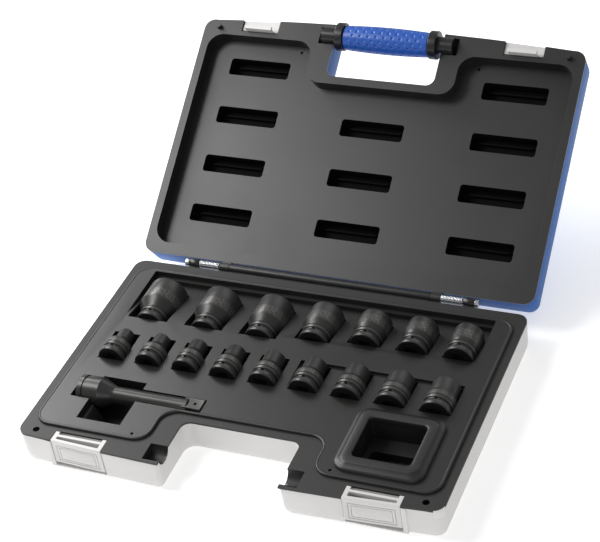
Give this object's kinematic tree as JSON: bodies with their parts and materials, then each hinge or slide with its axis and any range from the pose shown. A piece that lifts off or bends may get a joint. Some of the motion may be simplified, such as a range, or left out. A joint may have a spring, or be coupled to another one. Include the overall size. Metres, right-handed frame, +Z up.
{
  "type": "socket wrench set in case",
  "caption": "Open hinged tool case with a folding lid, cylindrical carry handle and two latches, holding two rows of impact sockets and an extension bar in a moulded tray.",
  "frame": {"origin": "centre of the flat underside of the base", "axes": "+X along the hinge to the right as seen from the latches, +Y from the latches to the hinge, +Z up"},
  "size_m": [0.41, 0.5194, 0.1905],
  "materials": {
    "base_shell": "satin light grey-white plastic",
    "lid_shell": "satin blue plastic",
    "liner": "satin near-black plastic",
    "black_plastic": "satin black plastic",
    "grip": "soft blue plastic with dimples",
    "latch": "satin light plastic",
    "bright_metal": "bright plated steel",
    "socket_steel": "black phosphate",
    "bar_steel": "satin black phosphate"
  },
  "bodies": {
    "base": {"base_shell": "base_shell", "base_liner": "liner", "hinge_barrel": "black_plastic", "hinge_pin_left": "bright_metal", "hinge_pin_right": "bright_metal", "hinge_spring_left": "bright_metal", "hinge_spring_right": "bright_metal", "latch_pin_left": "bright_metal", "latch_pin_right": "bright_metal"},
    "lid": {"lid_shell": "lid_shell", "lid_liner": "liner", "handle_core": "black_plastic", "handle_grip": "grip", "handle_collar_left": "black_plastic", "handle_collar_right": "black_plastic", "catch_left": "latch", "catch_right": "latch"},
    "latch_left": {"latch_left": "latch"},
    "latch_right": {"latch_right": "latch"},
    "extension_bar": {"extension_bar": "bar_steel"},
    "socket_10": {"socket_10": "socket_steel"},
    "socket_11": {"socket_11": "socket_steel"},
    "socket_12": {"socket_12": "socket_steel"},
    "socket_13": {"socket_13": "socket_steel"},
    "socket_14": {"socket_14": "socket_steel"},
    "socket_15": {"socket_15": "socket_steel"},
    "socket_16": {"socket_16": "socket_steel"},
    "socket_17": {"socket_17": "socket_steel"},
    "socket_18": {"socket_18": "socket_steel"},
    "socket_19": {"socket_19": "socket_steel"},
    "socket_20": {"socket_20": "socket_steel"},
    "socket_21": {"socket_21": "socket_steel"},
    "socket_22": {"socket_22": "socket_steel"},
    "socket_23": {"socket_23": "socket_steel"},
    "socket_24": {"socket_24": "socket_steel"},
    "socket_27": {"socket_27": "socket_steel"}
  },
  "joints": [
    {"name": "lid_hinge", "type": "hinge", "parent": "base", "child": "lid", "pos_m": [0, 0.137, 0.034], "axis": [-1, 0, 0], "range_deg": [-147, 0]},
    {"name": "latch_left_hinge", "type": "hinge", "parent": "base", "child": "latch_left", "pos_m": [-0.142, -0.12891, 0.009], "axis": [1, 0, 0], "range_deg": [0, 40]},
    {"name": "latch_right_hinge", "type": "hinge", "parent": "base", "child": "latch_right", "pos_m": [0.142, -0.12891, 0.009], "axis": [1, 0, 0], "range_deg": [0, 40]},
    {"name": "extension_bar_lift", "type": "slide", "parent": "base", "child": "extension_bar", "axis": [0, 0, 1], "range_m": [0, 0.07]},
    {"name": "socket_10_lift", "type": "slide", "parent": "base", "child": "socket_10", "axis": [0, 0, 1], "range_m": [0, 0.07]},
    {"name": "socket_11_lift", "type": "slide", "parent": "base", "child": "socket_11", "axis": [0, 0, 1], "range_m": [0, 0.07]},
    {"name": "socket_12_lift", "type": "slide", "parent": "base", "child": "socket_12", "axis": [0, 0, 1], "range_m": [0, 0.07]},
    {"name": "socket_13_lift", "type": "slide", "parent": "base", "child": "socket_13", "axis": [0, 0, 1], "range_m": [0, 0.07]},
    {"name": "socket_14_lift", "type": "slide", "parent": "base", "child": "socket_14", "axis": [0, 0, 1], "range_m": [0, 0.07]},
    {"name": "socket_15_lift", "type": "slide", "parent": "base", "child": "socket_15", "axis": [0, 0, 1], "range_m": [0, 0.07]},
    {"name": "socket_16_lift", "type": "slide", "parent": "base", "child": "socket_16", "axis": [0, 0, 1], "range_m": [0, 0.07]},
    {"name": "socket_17_lift", "type": "slide", "parent": "base", "child": "socket_17", "axis": [0, 0, 1], "range_m": [0, 0.07]},
    {"name": "socket_18_lift", "type": "slide", "parent": "base", "child": "socket_18", "axis": [0, 0, 1], "range_m": [0, 0.07]},
    {"name": "socket_19_lift", "type": "slide", "parent": "base", "child": "socket_19", "axis": [0, 0, 1], "range_m": [0, 0.07]},
    {"name": "socket_20_lift", "type": "slide", "parent": "base", "child": "socket_20", "axis": [0, 0, 1], "range_m": [0, 0.07]},
    {"name": "socket_21_lift", "type": "slide", "parent": "base", "child": "socket_21", "axis": [0, 0, 1], "range_m": [0, 0.07]},
    {"name": "socket_22_lift", "type": "slide", "parent": "base", "child": "socket_22", "axis": [0, 0, 1], "range_m": [0, 0.07]},
    {"name": "socket_23_lift", "type": "slide", "parent": "base", "child": "socket_23", "axis": [0, 0, 1], "range_m": [0, 0.07]},
    {"name": "socket_24_lift", "type": "slide", "parent": "base", "child": "socket_24", "axis": [0, 0, 1], "range_m": [0, 0.07]},
    {"name": "socket_27_lift", "type": "slide", "parent": "base", "child": "socket_27", "axis": [0, 0, 1], "range_m": [0, 0.07]}
  ]
}
